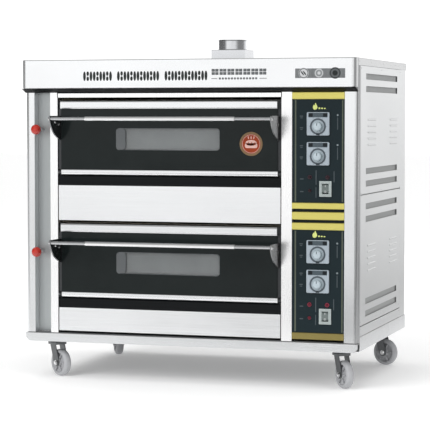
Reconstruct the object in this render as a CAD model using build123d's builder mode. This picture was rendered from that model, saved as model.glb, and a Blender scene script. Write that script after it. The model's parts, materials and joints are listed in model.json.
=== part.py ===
from build123d import *
import os

# Two-deck gas oven on castors. Millimetres, +Z up, front towards -Y, +X to the right of the front.
# The origin is on the floor under the middle of the whole object.

# Driving dimensions
WIDTH = 1350.0
DEPTH = 900.0
BODY_HEIGHT = 1115.0
CASTOR_HEIGHT = 148.0
DECK_PITCH = 485.0
HANDLE_REACH = 112.0
INLET_REACH = 40.0
SHEET = 1.5
GAP = 0.3

HALF = WIDTH / 2
FRONT = (HANDLE_REACH - INLET_REACH - DEPTH) / 2
BASE = CASTOR_HEIGHT
DECKS = {"lower": 0.0, "upper": DECK_PITCH}

# Columns across the front
POST_L = -637.6
JAMB_L = -571.0
DOOR_L = -539.5
DOOR_R = 377.0
COLUMN_L = 418.7
COLUMN_R = 623.0
DOOR_MID = (DOOR_L + DOOR_R) / 2
POST_DEPTH = 41.0
CORNER_R = 15.0
FASCIA_OUT = 40.0
FASCIA_R = 18.0
FASCIA_EDGE = 3.5
CHANNEL_DEPTH = 40.0
JAMB_DEPTH = 60.0
REAR_POST = 117.0

# Levels above the underside of the base rail, for the lower deck
RAIL_TOP = 34.0
FLOOR_SHEET = 36.0
PANEL_LOW = 46.0
PANEL_GAP = 3.5
SILL_LOW = 137.5
DOOR_LOW = 175.0
GLASS_LOW = 201.5
GLASS_HIGH = 438.0
DOOR_HIGH = 473.0
UPPER_PANEL_LOW = 484.5
LINTEL_LOW = 968.0
TRIM_LOW = 987.0
FASCIA_LOW = 1003.0
SEAM = 596.0
CAP_LOW = 1087.0

# Door
DOOR_GAP = 2.5
DOOR_THICK = 65.0
TRIM_INSET = 12.5
PIVOT = 14.0
PIN_R = 5.0
HANDLE_R = 6.5
GRIP_R = 8.5
GRIP_LENGTH = 600.0
HANDLE_OUT = HANDLE_REACH - GRIP_R
HANDLE_DROP = 73.0
BRACKET = 5.0
WINDOW_W = 420.0
WINDOW_H = 81.0
WINDOW_MID = 320.0

# Baking chamber
CHAMBER_HALF = 433.0
CHAMBER_FRONT = 70.0
CHAMBER_BACK = 780.0
SOLE_TOP = DOOR_LOW + 60.0
SOLE_THICK = 5.0
CHAMBER_TOP = DOOR_LOW + 265.0

BURNER_ROWS = (
    ((-420.0, -195.0, 30.0, 255.0), DOOR_LOW + 28.0, 14.0),
    ((-380.0, -80.0, 220.0), DOOR_LOW + 285.0, 12.0),
)

# Flue
FLUE_DEPTH = 605.0
FLUE_BOX_W = 145.0
FLUE_BOX_D = 128.0
FLUE_BOX_TOP = 1169.0
FLUE_TOP = 1211.0
FLUE_R = 58.0
RISER_FRONT = 560.0

# Controls
CONTROL_X = (COLUMN_L + COLUMN_R) / 2
CONTROL_SPANS = {"lower": (71.5, 463.5), "upper": (567.0, 959.0)}
GOLD_SPANS = ((45.0, 71.5), (463.5, 491.0), (502.0, 532.0), (543.0, 567.0), (959.0, 987.0))
CASE = 88.0
CASE_LEVELS = {"top_heat": 381.0, "bottom_heat": 268.0}
DIAL_DROP = 10.0
SWITCH_X = 549.5
SWITCH_LEVEL = 135.0
LAMPS = [(488.0, 179.0), (557.0, 179.0), (488.0, 128.0)]
LAMP_R = 5.0

# Damper rods
DAMPER_X = -621.0
DAMPER_LEVEL = 357.0
KNOB_R = 20.0
KNOB_OUT = 26.0
ROD_R = 5.0

# Gas pipes
MANIFOLD_X = 540.0
PIPE_DEPTH = 795.0
INLET_LEVEL = 120.0
INLET_R = 10.48
INLET_THREAD = 36.0

# Castors: side, depth behind the front, heading of the trail in degrees
CASTORS = {
    "front_left": (-588.0, 100.0, -33.0),
    "front_right": (588.0, 100.0, -48.0),
    "rear_left": (-588.0, 800.0, -60.0),
    "rear_right": (588.0, 800.0, -20.0),
}
WHEEL_R = 54.0
WHEEL_W = 32.0
TRAIL = 30.0
AXLE_R = 6.0

os.makedirs("parts", exist_ok=True)


def save(builder, label):
    """Label the finished piece and write it."""
    builder.part.label = label
    export_step(builder.part, "parts/" + label + ".step")


def block(x, d, z, mode=Mode.ADD):
    """A box by its limits: across, behind the front plane, above the base rail."""
    centre = ((x[0] + x[1]) / 2, FRONT + (d[0] + d[1]) / 2, BASE + (z[0] + z[1]) / 2)
    with Locations(centre):
        Box(x[1] - x[0], d[1] - d[0], z[1] - z[0], mode=mode)


def tube_post(x, d, z):
    """A folded post: a box section with walls of one sheet, open at both ends."""
    block(x, d, z)
    inner = (x[0] + SHEET, x[1] - SHEET), (d[0] + SHEET, d[1] - SHEET)
    block(inner[0], inner[1], z, mode=Mode.SUBTRACT)


def rod(x, d, z, radius, length, rotation, mode=Mode.ADD):
    """A round bar centred on a point; rotation turns it from +Z."""
    with Locations(Location((x, FRONT + d, BASE + z), rotation)):
        Cylinder(radius, length, mode=mode)


ALONG_X = (0, 90, 0)
ALONG_Y = (90, 0, 0)
ALONG_Z = (0, 0, 0)


def profile(points, x0, x1):
    """Extrude a depth-height outline from x0 to x1."""
    plane = Plane(origin=(x0, FRONT, BASE), x_dir=(0, 1, 0), z_dir=(1, 0, 0))
    with BuildSketch(plane) as outline:
        with BuildLine():
            Polyline(*points, close=True)
        make_face()
    extrude(outline.sketch, amount=x1 - x0)


# ---- Base ----
with BuildPart() as base_frame:
    bore_z = (2, RAIL_TOP - 2)
    for side in (-1, 1):
        block(sorted((side * 630.0, side * 670.0)), (POST_DEPTH, DEPTH - 2), (0, RAIL_TOP))
        bore_x = sorted((side * 632.0, side * 668.0))
        block(bore_x, (POST_DEPTH, DEPTH - 2), bore_z, Mode.SUBTRACT)
    for start in (POST_DEPTH, 430.0, DEPTH - 42):
        block((-630.0 + GAP, 630.0 - GAP), (start, start + 40), (0, RAIL_TOP))
        block((-630.0 + GAP, 630.0 - GAP), (start + 2, start + 38), bore_z, Mode.SUBTRACT)
    block((-670, 670), (2, DEPTH - 2), (RAIL_TOP + GAP, FLOOR_SHEET))
save(base_frame, "base_frame")

with BuildPart() as base_rail:
    rail_outline = [(-4, 0), (POST_DEPTH - 1, 0), (POST_DEPTH - 1, 2), (-2, 2), (-2, RAIL_TOP - 2)]
    rail_outline += [(POST_DEPTH - 1, RAIL_TOP - 2), (POST_DEPTH - 1, RAIL_TOP), (-4, RAIL_TOP)]
    profile(rail_outline, -HALF - 2, HALF + 2)
    fillet(base_rail.edges().filter_by(Axis.X).group_by(Axis.Y)[0], 1.8)
    # Lower corners cut at 45 degrees
    for side in (-1, 1):
        with Locations((side * (HALF + 2), FRONT + 18, BASE)):
            Box(20, 60, 20, rotation=(0, 45, 0), mode=Mode.SUBTRACT)
    for side in (-1, 1):
        block(sorted((side * (HALF - SHEET), side * HALF)), (POST_DEPTH, DEPTH), (0, 55))
save(base_rail, "base_rail")

# ---- Posts and panels ----
with BuildPart() as corner_posts:
    tall = (FLOOR_SHEET + GAP, CAP_LOW - GAP)
    block((-HALF, POST_L), (0, POST_DEPTH - GAP), tall)
    block((COLUMN_R, HALF), (0, POST_DEPTH - GAP), tall)
    front_edges = corner_posts.edges().filter_by(Axis.Z).group_by(Axis.Y)[0].sort_by(Axis.X)
    fillet([front_edges[0], front_edges[-1]], CORNER_R)
    fillet([front_edges[1], front_edges[-2]], 1.0)
    for start, end in ((5 - HALF, POST_L - SHEET), (COLUMN_R + SHEET, HALF - 5)):
        block((start, end), (6, POST_DEPTH - SHEET), tall, Mode.SUBTRACT)
save(corner_posts, "front_corner_posts")

with BuildPart() as rear_posts:
    for side in (-1, 1):
        block(sorted((side * 635.0, side * HALF)), (DEPTH - REAR_POST, DEPTH - GAP), (56, CAP_LOW - GAP))
    outer = rear_posts.edges().filter_by(Axis.Z).group_by(Axis.Y)[-1].sort_by(Axis.X)
    fillet([outer[0], outer[-1]], 20)
    for side in (-1, 1):
        hollow = sorted((side * 637.0, side * (HALF - 5)))
        block(hollow, (DEPTH - REAR_POST + 2, DEPTH - 9), (56, CAP_LOW - GAP), Mode.SUBTRACT)
save(rear_posts, "rear_posts")

with BuildPart() as surround:
    tube_post((JAMB_L, DOOR_L - GAP), (0, JAMB_DEPTH), (FLOOR_SHEET + GAP, 1002))
    tube_post((DOOR_R, COLUMN_L - GAP), (0, JAMB_DEPTH), (FLOOR_SHEET + GAP, 1002))
    block((DOOR_L, DOOR_R - GAP), (0, 20), (LINTEL_LOW, 1002))
    block((POST_L + GAP, JAMB_L - GAP), (CHANNEL_DEPTH, CHANNEL_DEPTH + SHEET), (FLOOR_SHEET + GAP, 1002))
    for lift in DECKS.values():
        rod(DAMPER_X, CHANNEL_DEPTH, DAMPER_LEVEL + lift, ROD_R + 0.4, 10, ALONG_Y, Mode.SUBTRACT)
        for x in (DOOR_L, DOOR_R):
            rod(x, PIVOT, DOOR_LOW + PIVOT + lift, PIN_R + 0.06, 12, ALONG_X, Mode.SUBTRACT)
save(surround, "door_surround")

SLOTS = {"lower": (561.0, 512.0, 196.0, 148.0), "upper": (1058.0, 1010.0, 696.0, 648.0)}
SLOT_HEIGHT = 23.0
SLOT_ENDS = (135.0, 715.0)
LOUVRE_COLUMNS = ((170.0, 312.0), (576.0, 715.0))
PANEL_SPANS = {"band": (57.0, 94.0), "lower": (97.0, SEAM - 2), "upper": (SEAM + 2, CAP_LOW - 1)}

for side_name, side in (("left", -1), ("right", 1)):
    with BuildPart() as side_panels:
        x_sheet = sorted((side * (HALF - SHEET), side * HALF))
        for span in PANEL_SPANS.values():
            block(x_sheet, (POST_DEPTH + GAP, DEPTH - REAR_POST - GAP), span)
        for deck in DECKS:
            for top in SLOTS[deck]:
                block((side * HALF - 4, side * HALF + 4), SLOT_ENDS, (top - SLOT_HEIGHT, top), Mode.SUBTRACT)
        for lift in DECKS.values():
            for row in range(5):
                for column in LOUVRE_COLUMNS:
                    middle = (column[0] + column[1]) / 2
                    level = 300 + 24 * row + lift
                    rod(side * (HALF - 5.2), middle, level, 6.5, column[1] - column[0], ALONG_Y)
        block((-HALF + SHEET, HALF - SHEET), (0, DEPTH), (0, BODY_HEIGHT), Mode.SUBTRACT)
    save(side_panels, side_name + "_side_panels")

with BuildPart() as roof:
    block((-HALF, HALF), (0, DEPTH), (BODY_HEIGHT - SHEET, BODY_HEIGHT))
    for side in (-1, 1):
        edge = sorted((side * (HALF - SHEET), side * HALF))
        block(edge, (0, DEPTH), (CAP_LOW, BODY_HEIGHT - SHEET))
    fillet(roof.edges().filter_by(Axis.Y).group_by(Axis.Z)[-1], 3.0)
    collar = FLUE_BOX_D / 2 - 6
    block((-62, 62), (FLUE_DEPTH - collar, FLUE_DEPTH + collar), (1100, 1130), Mode.SUBTRACT)
save(roof, "roof_panel")

with BuildPart() as back_panel:
    block((-634, 634), (DEPTH - 2, DEPTH - 2 + SHEET), (FLOOR_SHEET + GAP, 1112))
    rod(MANIFOLD_X, DEPTH, INLET_LEVEL, INLET_R + 2, 20, ALONG_Y, Mode.SUBTRACT)
    for lift in DECKS.values():
        for row in range(6):
            for x in (-330, 330):
                level = 270 + 30 * row + lift
                block((x - 130, x + 130), (DEPTH - 10, DEPTH + 10), (level, level + 8), Mode.SUBTRACT)
save(back_panel, "back_panel")

# ---- Header ----
with BuildPart() as fascia:
    block((-HALF, HALF), (-FASCIA_OUT, -GAP), (FASCIA_LOW, BODY_HEIGHT))
    fillet(fascia.edges().filter_by(Axis.Z).group_by(Axis.Y)[0], FASCIA_R)
    fillet(fascia.edges().filter_by(Axis.X).group_by(Axis.Y)[0], FASCIA_EDGE)
    inside = (FASCIA_LOW + 4, BODY_HEIGHT - 4)
    block((FASCIA_R - HALF, HALF - FASCIA_R), (2 - FASCIA_OUT, 0), inside, Mode.SUBTRACT)
    block((2 - HALF, HALF - 2), (FASCIA_R - FASCIA_OUT, 0), inside, Mode.SUBTRACT)
save(fascia, "header_fascia")

with BuildPart() as under_trim:
    slope = [(-GAP, TRIM_LOW), (-GAP, TRIM_LOW + 4), (-33, FASCIA_LOW - GAP), (-39.5, FASCIA_LOW - GAP)]
    profile(slope, -HALF, HALF)
save(under_trim, "header_under_trim")

# ---- Front panels between the doors ----
with BuildPart() as access_panels:
    for low, high in ((PANEL_LOW, SILL_LOW - GAP), (UPPER_PANEL_LOW, SILL_LOW + DECK_PITCH - GAP)):
        block((DOOR_L + PANEL_GAP, DOOR_R - PANEL_GAP), (0.5, 16), (low, high))
        inner = (DOOR_L + PANEL_GAP + SHEET, DOOR_R - PANEL_GAP - SHEET)
        block(inner, (2, 20), (low + SHEET, high - SHEET), Mode.SUBTRACT)
save(access_panels, "access_panels")

with BuildPart() as sills:
    for lift in DECKS.values():
        span = (SILL_LOW + lift, DOOR_LOW - 1 + lift)
        block((DOOR_L + PANEL_GAP, DOOR_R - PANEL_GAP), (1, 38), span)
        inner = (DOOR_L + PANEL_GAP + 2, DOOR_R - PANEL_GAP - 2)
        block(inner, (3, 40), (span[0] + 2, span[1] - 2), Mode.SUBTRACT)
save(sills, "sill_strips")

# ---- Baking chambers ----
X_LEFT = DOOR_MID - CHAMBER_HALF
X_RIGHT = DOOR_MID + CHAMBER_HALF
with BuildPart() as liners:
    for lift in DECKS.values():
        low = DOOR_LOW + 2 + lift
        high = CHAMBER_TOP + lift
        depth = (CHAMBER_FRONT + GAP, CHAMBER_BACK)
        block((X_LEFT - SHEET, X_LEFT), depth, (SOLE_TOP - SOLE_THICK + lift, high))
        block((X_RIGHT, X_RIGHT + SHEET), depth, (SOLE_TOP - SOLE_THICK + lift, high))
        block((X_LEFT - SHEET, X_RIGHT + SHEET), depth, (high + GAP, high + GAP + SHEET))
        rear = (CHAMBER_BACK + GAP, CHAMBER_BACK + GAP + SHEET)
        block((X_LEFT, X_RIGHT), rear, (SOLE_TOP - SOLE_THICK + lift, high))
        frame = (CHAMBER_FRONT - 2, CHAMBER_FRONT)
        block((DOOR_L, X_LEFT), frame, (low, DOOR_HIGH + lift))
        block((X_RIGHT, DOOR_R), frame, (low, DOOR_HIGH + lift))
        block((X_LEFT + GAP, X_RIGHT - GAP), frame, (high, DOOR_HIGH + lift))
        block((X_LEFT + GAP, X_RIGHT - GAP), frame, (low, SOLE_TOP + lift))
save(liners, "chamber_liners")

with BuildPart() as soles:
    for lift in DECKS.values():
        depth = (CHAMBER_FRONT + 0.5, CHAMBER_BACK - 0.5)
        block((X_LEFT + 0.5, X_RIGHT - 0.5), depth, (SOLE_TOP - SOLE_THICK + lift, SOLE_TOP + lift))
save(soles, "sole_plates")

with BuildPart() as wool:
    for lift in DECKS.values():
        depth = (CHAMBER_FRONT + 2, 780)
        tall = (PANEL_LOW + lift, 1020 if lift else PANEL_LOW + DECK_PITCH - GAP)
        block((JAMB_L + 1, JAMB_L + 31), depth, tall)
        block((X_RIGHT + 26, X_RIGHT + 56), depth, tall)
        block((X_LEFT, X_RIGHT), (815, 855), (DOOR_LOW + 10 + lift, DOOR_LOW + 300 + lift))
        block((DOOR_L, DOOR_R), depth, (DOOR_LOW + 308 + lift, DOOR_LOW + 348 + lift))
save(wool, "insulation_slabs")

with BuildPart() as burners:
    length = 709.0
    middle = CHAMBER_FRONT + 5 + length / 2
    for lift in DECKS.values():
        for places, level, radius in BURNER_ROWS:
            for x in places:
                rod(x, middle, level + lift, radius, length, ALONG_Y)
                rod(x, middle, level + lift, radius - 2, length, ALONG_Y, Mode.SUBTRACT)
save(burners, "tube_burners")

with BuildPart() as probes:
    for lift in DECKS.values():
        for x in (-300, 140):
            rod(x, CHAMBER_BACK - 30.5, CHAMBER_TOP - 25 + lift, 3, 60, ALONG_Y)
save(probes, "thermocouple_probes")

with BuildPart() as chamber_lamps:
    for lift in DECKS.values():
        rod(X_RIGHT - 8.5, 620, CHAMBER_TOP - 45 + lift, 22, 16, ALONG_X)
    fillet(chamber_lamps.edges().filter_by(GeomType.CIRCLE).group_by(Axis.X)[0], 6)
save(chamber_lamps, "chamber_lamps")

# ---- Gas and electrics ----
with BuildPart() as manifold:
    rod(MANIFOLD_X, PIPE_DEPTH, 520, 11, 880, ALONG_Z)
    inlet_end = DEPTH + INLET_REACH
    inlet = inlet_end - PIPE_DEPTH
    rod(MANIFOLD_X, PIPE_DEPTH + inlet / 2, INLET_LEVEL, 9.5, inlet, ALONG_Y)
    rod(MANIFOLD_X, inlet_end - INLET_THREAD / 2, INLET_LEVEL, INLET_R, INLET_THREAD, ALONG_Y)
    rod(MANIFOLD_X, inlet_end - 30, INLET_LEVEL, 7, 60, ALONG_Y, Mode.SUBTRACT)
    for lift in DECKS.values():
        for level in (DOOR_LOW + 28 + lift, DOOR_LOW + 285 + lift):
            rod(30, PIPE_DEPTH, level, 9, 936, ALONG_X)
save(manifold, "gas_manifold")

with BuildPart() as valves:
    for lift in DECKS.values():
        for level in (DOOR_LOW + 28 + lift, DOOR_LOW + 285 + lift):
            block((498.5, 528.5), (PIPE_DEPTH - 20, PIPE_DEPTH + 20), (level - 18, level + 18))
            rod(513.5, PIPE_DEPTH, level + 38, 13, 40, ALONG_Z)
    # Spark boxes, in the same cavity
    for lift in DECKS.values():
        block((460, 580), (220, 320), (210 + lift, 290 + lift))
        for x in (480, 560):
            rod(x, 270, 300 + lift, 8, 20, ALONG_Z)
save(valves, "gas_control_units")

with BuildPart() as duct:
    shaft = ((-668, -578), (RISER_FRONT, RISER_FRONT + 90))
    block(shaft[0], shaft[1], (300, 1024))
    block((-666, -580), (RISER_FRONT + 2, RISER_FRONT + 88), (290, 1030), Mode.SUBTRACT)
    block((-668, 62), (RISER_FRONT, RISER_FRONT + 90), (1024.5, 1084))
    block((-666, 58), (RISER_FRONT + 2, RISER_FRONT + 88), (1020, 1082), Mode.SUBTRACT)
    stack = ((-55, 55), (FLUE_DEPTH - 45, FLUE_DEPTH + 45))
    block(stack[0], stack[1], (1084.5, BODY_HEIGHT - 0.5))
    block((-53, 53), (FLUE_DEPTH - 43, FLUE_DEPTH + 43), (1070, BODY_HEIGHT + 1), Mode.SUBTRACT)
save(duct, "flue_duct")

with BuildPart() as flue_box:
    half_w = FLUE_BOX_W / 2
    half_d = FLUE_BOX_D / 2
    block((-half_w, half_w), (FLUE_DEPTH - half_d, FLUE_DEPTH + half_d), (BODY_HEIGHT, FLUE_BOX_TOP))
    fillet(flue_box.edges().group_by(Axis.Z)[-1], 2)
    inner_d = (FLUE_DEPTH - half_d + 2, FLUE_DEPTH + half_d - 2)
    block((2 - half_w, half_w - 2), inner_d, (BODY_HEIGHT - 1, FLUE_BOX_TOP - 2), Mode.SUBTRACT)
    rod(0, FLUE_DEPTH, FLUE_BOX_TOP, FLUE_R - 2, 20, ALONG_Z, Mode.SUBTRACT)
save(flue_box, "flue_box")

with BuildPart() as flue_pipe:
    height = FLUE_TOP - FLUE_BOX_TOP
    rod(0, FLUE_DEPTH, FLUE_BOX_TOP + height / 2, FLUE_R, height, ALONG_Z)
    rod(0, FLUE_DEPTH, FLUE_BOX_TOP + height / 2, FLUE_R - SHEET, height, ALONG_Z, Mode.SUBTRACT)
save(flue_pipe, "flue_pipe")

# ---- Control column ----
with BuildPart() as control_panels:
    for deck, lift in DECKS.items():
        low, high = CONTROL_SPANS[deck]
        block((COLUMN_L + 1, COLUMN_R - 1), (3, 5), (low + GAP, high - GAP))
        for level in CASE_LEVELS.values():
            half = CASE / 2 - 1.5
            hole = (CONTROL_X - half, CONTROL_X + half)
            block(hole, (0, 10), (level - half + lift, level + half + lift), Mode.SUBTRACT)
        hole = (SWITCH_X - 16, SWITCH_X + 16)
        z_switch = (SWITCH_LEVEL - 22 + lift, SWITCH_LEVEL + 22 + lift)
        block(hole, (0, 10), z_switch, Mode.SUBTRACT)
        for x, level in LAMPS:
            rod(x, 4, level + lift, LAMP_R + 0.2, 10, ALONG_Y, Mode.SUBTRACT)
    block((COLUMN_L + 1, COLUMN_R - 1), (17, 18.5), (480, 550))
save(control_panels, "control_panels")

with BuildPart() as gold:
    for low, high in GOLD_SPANS:
        block((COLUMN_L + 0.5, COLUMN_R - 0.5), (-1, 15), (low, high))
    fillet(gold.edges().filter_by(Axis.X).group_by(Axis.Y)[0], 3)
save(gold, "gold_trims")

with BuildPart() as cases:
    for lift in DECKS.values():
        for level in CASE_LEVELS.values():
            half = CASE / 2
            z = level + lift
            block((CONTROL_X - half, CONTROL_X + half), (-5, 2.7), (z - half, z + half))
            block((CONTROL_X - half + 3, CONTROL_X + half - 3), (2, 80), (z - half + 3, z + half - 3))
            rod(CONTROL_X, 0, z - DIAL_DROP, 3.06, 40, ALONG_Y, Mode.SUBTRACT)
    fillet(cases.edges().filter_by(Axis.Y).group_by(Axis.Y)[0], 5)
    fillet(cases.faces().sort_by(Axis.Y)[0:4].edges(), 1.5)
save(cases, "controller_cases")

with BuildPart() as switch_cases:
    for lift in DECKS.values():
        z = SWITCH_LEVEL + lift
        block((SWITCH_X - 23.5, SWITCH_X + 23.5), (-2, 2.7), (z - 29.5, z + 29.5))
        block((SWITCH_X - 15.5, SWITCH_X + 15.5), (2, 42), (z - 21.5, z + 21.5))
        block((SWITCH_X - 13, SWITCH_X + 13), (-5, 40), (z - 19.5, z + 19.5), Mode.SUBTRACT)
save(switch_cases, "switch_cases")

with BuildPart() as lamps:
    for lift in DECKS.values():
        for x, level in LAMPS:
            rod(x, 3.5, level + lift, LAMP_R, 15, ALONG_Y)
    fillet(lamps.edges().filter_by(GeomType.CIRCLE).group_by(Axis.Y)[0], 3)
save(lamps, "indicator_lamps")

for deck, lift in DECKS.items():
    for name, level in CASE_LEVELS.items():
        with BuildPart() as dial:
            z = level + lift - DIAL_DROP
            rod(CONTROL_X, -14.5, z, 17, 16, ALONG_Y)
            rod(CONTROL_X, -6.3, z, 22, 1.6, ALONG_Y)
            rod(CONTROL_X, 4, z, 3, 26, ALONG_Y)
            fillet(dial.edges().filter_by(GeomType.CIRCLE).group_by(Axis.Y)[0], 2.5)
            block((CONTROL_X - 1.5, CONTROL_X + 1.5), (-23.5, -20), (z + 2, z + 13.5))
        save(dial, deck + "_" + name + "_dial")

for deck, lift in DECKS.items():
    with BuildPart() as rocker:
        z = SWITCH_LEVEL + lift
        rod(SWITCH_X, 13, z, 19, 25, ALONG_X)
        block((SWITCH_X - 20, SWITCH_X + 20), (16, 40), (z - 30, z + 30), Mode.SUBTRACT)
        rod(SWITCH_X, -29, z, 28, 30, ALONG_X, Mode.SUBTRACT)
    save(rocker, deck + "_power_rocker")

# ---- Doors ----
for deck, lift in DECKS.items():
    left = DOOR_L + DOOR_GAP
    right = DOOR_R - DOOR_GAP
    low = DOOR_LOW + lift + 1
    high = DOOR_HIGH + lift - 1
    hub = DOOR_LOW + PIVOT + lift
    glass = (GLASS_LOW + lift, GLASS_HIGH + lift)
    window_x = (DOOR_MID - WINDOW_W / 2, DOOR_MID + WINDOW_W / 2)
    window_z = (WINDOW_MID - WINDOW_H / 2 + lift, WINDOW_MID + WINDOW_H / 2 + lift)
    window_centre = (DOOR_MID, FRONT + 30, BASE + WINDOW_MID + lift)
    handle = DOOR_HIGH - HANDLE_DROP + lift

    with BuildPart() as door_frame:
        block((left, right), (PIVOT + GAP, DOOR_THICK), (low, high))
        block((left, right), (5, DOOR_THICK), (glass[0] + GAP, glass[1] - GAP))
        for start, bottom, top in ((PIVOT + 2, low + 2, high - 2), (7, glass[0] + 2, glass[1] - 2)):
            hollow = (start, DOOR_THICK - 2)
            for low_z, high_z in ((bottom, window_z[0] - 16), (window_z[1] + 16, top)):
                block((left + 2, right - 2), hollow, (low_z, high_z), Mode.SUBTRACT)
            for low_x, high_x in ((left + 2, window_x[0] - 16), (window_x[1] + 16, right - 2)):
                block((low_x, high_x), hollow, (bottom, top), Mode.SUBTRACT)
        block(window_x, (0, DOOR_THICK + 5), window_z, Mode.SUBTRACT)
        fillet(door_frame.edges().filter_by(Axis.Y).filter_by_position(
            Axis.X, window_x[0] - 1, window_x[1] + 1), 12)
        for depth in (5, DOOR_THICK - 9):
            block((window_x[0] - 12, window_x[1] + 12), (depth - 1, depth + 4 + GAP),
                  (window_z[0] - 12, window_z[1] + 12), Mode.SUBTRACT)
        block((left + 20, left + 60), (20, DOOR_THICK - 1), (low - 1, low + 3), Mode.SUBTRACT)
        for x in (left, right):
            inward = 6 if x < 0 else -6
            rod(x + inward, PIVOT + GAP, hub, 9, 12, ALONG_X)
            rod(x, PIVOT, hub, PIN_R, 16, ALONG_X)
    save(door_frame, deck + "_door_frame")

    with BuildPart() as door_glass:
        block((left + TRIM_INSET, right - TRIM_INSET), (0, 5 - GAP), (glass[0] + GAP, glass[1] - GAP))
        with Locations(window_centre):
            Box(WINDOW_W, 100, WINDOW_H, mode=Mode.SUBTRACT)
        fillet(door_glass.edges().filter_by(Axis.Y).filter_by_position(
            Axis.X, window_x[0] - 1, window_x[1] + 1), 12)
    save(door_glass, deck + "_door_glass")

    with BuildPart() as panes:
        for depth in (5, DOOR_THICK - 9):
            block((window_x[0] - 11, window_x[1] + 11), (depth + GAP, depth + 4),
                  (window_z[0] - 11, window_z[1] + 11))
    save(panes, deck + "_window_panes")

    with BuildPart() as trims:
        block((left + TRIM_INSET, right - TRIM_INSET), (0, PIVOT), (low, glass[0]))
        corner = trims.edges().filter_by(Axis.X).group_by(Axis.Y)[0].sort_by(Axis.Z)
        fillet(corner[0], PIVOT - 1)
        fillet(corner[1], 5)
        block((left + TRIM_INSET, right - TRIM_INSET), (-9, PIVOT), (glass[1], high))
        nose = trims.edges().filter_by(Axis.X).group_by(Axis.Y)[0].sort_by(Axis.Z)
        fillet(nose[0], 6)
        fillet(nose[-1], 8.5)
    save(trims, deck + "_door_trims")

    with BuildPart() as handle_bar:
        rod(DOOR_MID + 4, -HANDLE_OUT, handle, HANDLE_R, right - left - 4, ALONG_X)
        fillet(handle_bar.edges().filter_by(GeomType.CIRCLE), 3)
        rod(DOOR_MID, -HANDLE_OUT, handle, GRIP_R, GRIP_LENGTH, ALONG_X)
    save(handle_bar, deck + "_handle_bar")

    with BuildPart() as brackets:
        for x in (left + 6, right - 6 - BRACKET):
            plane = Plane(origin=(x, FRONT, BASE + handle), x_dir=(0, 1, 0), z_dir=(1, 0, 0))
            with BuildSketch(plane):
                with BuildLine():
                    Line((-GAP, 11), (3 - HANDLE_REACH, 11))
                    Line((3 - HANDLE_REACH, 11), (-HANDLE_REACH, 8))
                    Line((-HANDLE_REACH, 8), (-HANDLE_REACH, -8))
                    Spline((-HANDLE_REACH, -8), (-HANDLE_REACH * 0.7, -50), (-24, -78), (-GAP, -84))
                    Line((-GAP, -84), (-GAP, 11))
                make_face()
            extrude(amount=BRACKET)
            rod(x + BRACKET / 2, -HANDLE_OUT, handle, HANDLE_R, 20, ALONG_X, Mode.SUBTRACT)
            rod(x + BRACKET / 2, -22, handle - 22, 6, BRACKET + 4, ALONG_X)
    save(brackets, deck + "_handle_brackets")

    with BuildPart() as knob:
        z = DAMPER_LEVEL + lift
        with Locations((DAMPER_X, FRONT - KNOB_OUT, BASE + z)):
            Sphere(KNOB_R)
        rod(DAMPER_X, -KNOB_OUT + KNOB_R, z, ROD_R, 16, ALONG_Y, Mode.SUBTRACT)
    save(knob, deck + "_damper_knob")

    with BuildPart() as damper:
        start = -KNOB_OUT + KNOB_R - 8
        end = RISER_FRONT - 2
        rod(DAMPER_X, (start + end) / 2, z, ROD_R, end - start, ALONG_Y)
        block((DAMPER_X - 30, DAMPER_X + 26), (end - 2, end), (z - 40, z + 40))
    save(damper, deck + "_damper_rod")

# ---- Castors ----
with BuildPart() as plates:
    for x, depth, heading in CASTORS.values():
        block((x - 47, x + 47), (depth - 47, depth + 47), (-4, -GAP))
        rod(x, depth, -8.2, 24, 8, ALONG_Z)
save(plates, "castor_plates")

for corner_name, (x, depth, heading) in CASTORS.items():
    place = Location((x, FRONT + depth, 0), (0, 0, heading))
    crown = BASE - 12.5
    with BuildPart() as fork:
        with Locations(place):
            with Locations((4, 0, crown - 5)):
                Box(56, 50, 10)
            for side in (-1, 1):
                with Locations((TRAIL / 2 + 2, side * 21.5, WHEEL_R + 38)):
                    Box(34, 3.5, 88, rotation=(0, -19, 0))
                with Locations(Location((TRAIL, side * 21.5, WHEEL_R), ALONG_Y)):
                    Cylinder(15, 3.5)
                with Locations(Location((TRAIL, side * 25.5, WHEEL_R), ALONG_Y)):
                    Cylinder(8, 4.6)
            with Locations(Location((TRAIL, 0, WHEEL_R), ALONG_Y)):
                Cylinder(AXLE_R, 50)
        split(bisect_by=Plane.XY.offset(crown), keep=Keep.BOTTOM)
    save(fork, "castor_fork_" + corner_name)
    with BuildPart() as wheel:
        with Locations(place):
            with Locations(Location((TRAIL, 0, WHEEL_R), ALONG_Y)):
                Cylinder(WHEEL_R, WHEEL_W)
                Cylinder(17, WHEEL_W + 6)
        rims = wheel.edges().filter_by(GeomType.CIRCLE).filter_by(lambda e: e.radius > 50)
        fillet(rims, 7)
        with Locations(place):
            with Locations(Location((TRAIL, 0, WHEEL_R), ALONG_Y)):
                Cylinder(AXLE_R + 0.05, 60, mode=Mode.SUBTRACT)
    save(wheel, "castor_wheel_" + corner_name)
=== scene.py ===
import json
import math

import bmesh
import bpy
from mathutils import Matrix, Vector


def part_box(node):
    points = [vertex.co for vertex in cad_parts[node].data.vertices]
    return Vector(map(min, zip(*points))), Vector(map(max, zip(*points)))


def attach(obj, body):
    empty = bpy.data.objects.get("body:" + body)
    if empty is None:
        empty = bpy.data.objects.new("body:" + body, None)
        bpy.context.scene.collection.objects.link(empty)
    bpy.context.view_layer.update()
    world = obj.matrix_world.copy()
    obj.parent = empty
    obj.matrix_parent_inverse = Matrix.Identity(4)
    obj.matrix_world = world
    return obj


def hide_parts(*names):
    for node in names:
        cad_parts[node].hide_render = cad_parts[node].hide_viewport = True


# A two-deck gas oven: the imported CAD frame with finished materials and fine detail.
# The scene is in metres. Shape helpers and places take millimetres: x across, depth behind the
# front plane, z above the underside of the base rail.

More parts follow.
